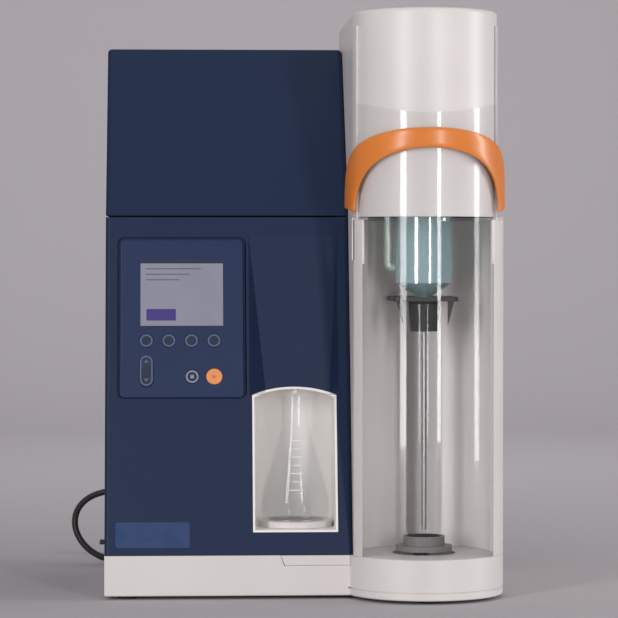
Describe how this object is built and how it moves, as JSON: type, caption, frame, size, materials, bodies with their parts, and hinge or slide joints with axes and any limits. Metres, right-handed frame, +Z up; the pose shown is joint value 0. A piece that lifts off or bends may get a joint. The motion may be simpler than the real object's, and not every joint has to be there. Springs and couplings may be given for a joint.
{
  "type": "kjeldahl nitrogen analyzer",
  "caption": "Bench-top Kjeldahl distillation unit with a leaning control panel, flask bay, and a round tower whose clear shield slides up round the digestion tube.",
  "frame": {"origin": "on the table under the middle of the unit's box, without the mains lead", "axes": "+X to the user's right, +Y to the rear, +Z up; the user stands at -Y"},
  "size_m": [0.5187, 0.5898, 0.682],
  "materials": {
    "case_blue": "satin moulded plastic, dark blue",
    "shell_white": "satin moulded plastic, warm white",
    "tray_white": "satin plastic",
    "handle_orange": "satin orange plastic",
    "shield_clear": "clear moulded sheet",
    "glassware": "clear laboratory glass",
    "condenser_glass": "clear glass jacket",
    "panel_blue": "satin dark blue",
    "screen_glass": "lit grey display",
    "key_dark": "satin dark keys",
    "key_orange": "orange key",
    "board_green": "board",
    "rubber_black": "matt black",
    "steel": "brushed",
    "bracket_dark": "dark chemical resistant plastic",
    "pump_grey": "grey",
    "fitting_plastic": "natural plastic",
    "inlet_black": "black",
    "hose_clear": "translucent hose",
    "cord_black": "matt black"
  },
  "bodies": {
    "unit": {"alkali_hose": "hose_clear", "alkali_pump": "pump_grey", "base_tray": "shell_white", "chamber_back": "shell_white", "chassis_frame": "steel", "condenser": "condenser_glass", "condenser_outlet": "fitting_plastic", "control_bezel": "panel_blue", "control_board": "board_green", "display_screen": "screen_glass", "drain_outlet": "fitting_plastic", "flask_bay_liner": "shell_white", "flask_platform": "tray_white", "foot_front_left": "rubber_black", "foot_front_middle": "rubber_black", "foot_nose": "rubber_black", "foot_rear_left": "rubber_black", "foot_rear_right": "rubber_black", "front_cover": "case_blue", "guide_rail_left": "shell_white", "guide_rail_right": "shell_white", "hinge_base_left": "steel", "hinge_base_right": "steel", "lift_rod": "steel", "mains_connector": "cord_black", "mains_inlet": "inlet_black", "mains_lead": "cord_black", "mains_lead_coil": "cord_black", "mains_lead_tail": "cord_black", "mains_plug": "cord_black", "reagent_inlet": "fitting_plastic", "rear_panel": "pump_grey", "splash_head": "glassware", "steam_generator": "steel", "steam_tube": "steel", "stopper_bracket": "bracket_dark", "tower_housing": "shell_white", "tower_sleeve": "shell_white", "tube_stopper": "rubber_black", "water_inlet": "fitting_plastic", "water_outlet": "fitting_plastic"},
    "top_cover": {"top_cover": "case_blue", "hinge_leaf_left": "steel", "hinge_leaf_right": "steel"},
    "shield": {"safety_shield": "shield_clear", "lift_handle": "handle_orange", "handle_bolt_left": "steel", "handle_bolt_right": "steel"},
    "tube_lift": {"tube_platform": "bracket_dark", "digestion_tube": "glassware"},
    "flask": {"receiver_flask": "glassware"},
    "drip_tray": {"drip_tray": "tray_white"},
    "key_1": {"key_1": "key_dark"},
    "key_2": {"key_2": "key_dark"},
    "key_3": {"key_3": "key_dark"},
    "key_4": {"key_4": "key_dark"},
    "stop_key": {"stop_key": "key_dark"},
    "start_key": {"start_key": "key_orange"},
    "rocker_key": {"rocker_key": "key_dark"},
    "mains_switch": {"mains_switch": "inlet_black"}
  },
  "joints": [
    {"name": "top_cover_hinge", "type": "hinge", "parent": "unit", "child": "top_cover", "pos_m": [-0.09, 0.1764, 0.445], "axis": [-1, 0, 0], "range_deg": [0, 65]},
    {"name": "shield_slide", "type": "slide", "parent": "unit", "child": "shield", "axis": [0, 0, 1], "range_m": [0, 0.23]},
    {"name": "tube_lift_slide", "type": "slide", "parent": "unit", "child": "tube_lift", "axis": [0, 0, 1], "range_m": [-0.034, 0], "stiffness_N_per_m": 100, "springref_m": 0.06},
    {"name": "flask_slide", "type": "slide", "parent": "unit", "child": "flask", "axis": [0, -1, 0], "range_m": [0, 0.15]},
    {"name": "drip_tray_slide", "type": "slide", "parent": "unit", "child": "drip_tray", "axis": [0, -1, 0], "range_m": [0, 0.08]},
    {"name": "rocker_key_tilt", "type": "hinge", "parent": "unit", "child": "rocker_key", "pos_m": [-0.18545, -0.07543, 0.26224], "axis": [1, 0, 0], "range_deg": [-2, 2], "stiffness_Nm_per_rad": 0.5},
    {"name": "mains_switch_rock", "type": "hinge", "parent": "unit", "child": "mains_switch", "pos_m": [-0.17825, 0.17, 0.095], "axis": [1, 0, 0], "range_deg": [-9, 9]},
    {"name": "key_1_press", "type": "slide", "parent": "unit", "child": "key_1", "axis": [0, 0.9714, -0.2373], "range_m": [0, 0.0012], "stiffness_N_per_m": 800, "springref_m": -0.001},
    {"name": "key_2_press", "type": "slide", "parent": "unit", "child": "key_2", "axis": [0, 0.9714, -0.2373], "range_m": [0, 0.0012], "stiffness_N_per_m": 800, "springref_m": -0.001},
    {"name": "key_3_press", "type": "slide", "parent": "unit", "child": "key_3", "axis": [0, 0.9714, -0.2373], "range_m": [0, 0.0012], "stiffness_N_per_m": 800, "springref_m": -0.001},
    {"name": "key_4_press", "type": "slide", "parent": "unit", "child": "key_4", "axis": [0, 0.9714, -0.2373], "range_m": [0, 0.0012], "stiffness_N_per_m": 800, "springref_m": -0.001},
    {"name": "stop_key_press", "type": "slide", "parent": "unit", "child": "stop_key", "axis": [0, 0.9714, -0.2373], "range_m": [0, 0.0012], "stiffness_N_per_m": 800, "springref_m": -0.001},
    {"name": "start_key_press", "type": "slide", "parent": "unit", "child": "start_key", "axis": [0, 0.9714, -0.2373], "range_m": [0, 0.0012], "stiffness_N_per_m": 800, "springref_m": -0.001}
  ]
}
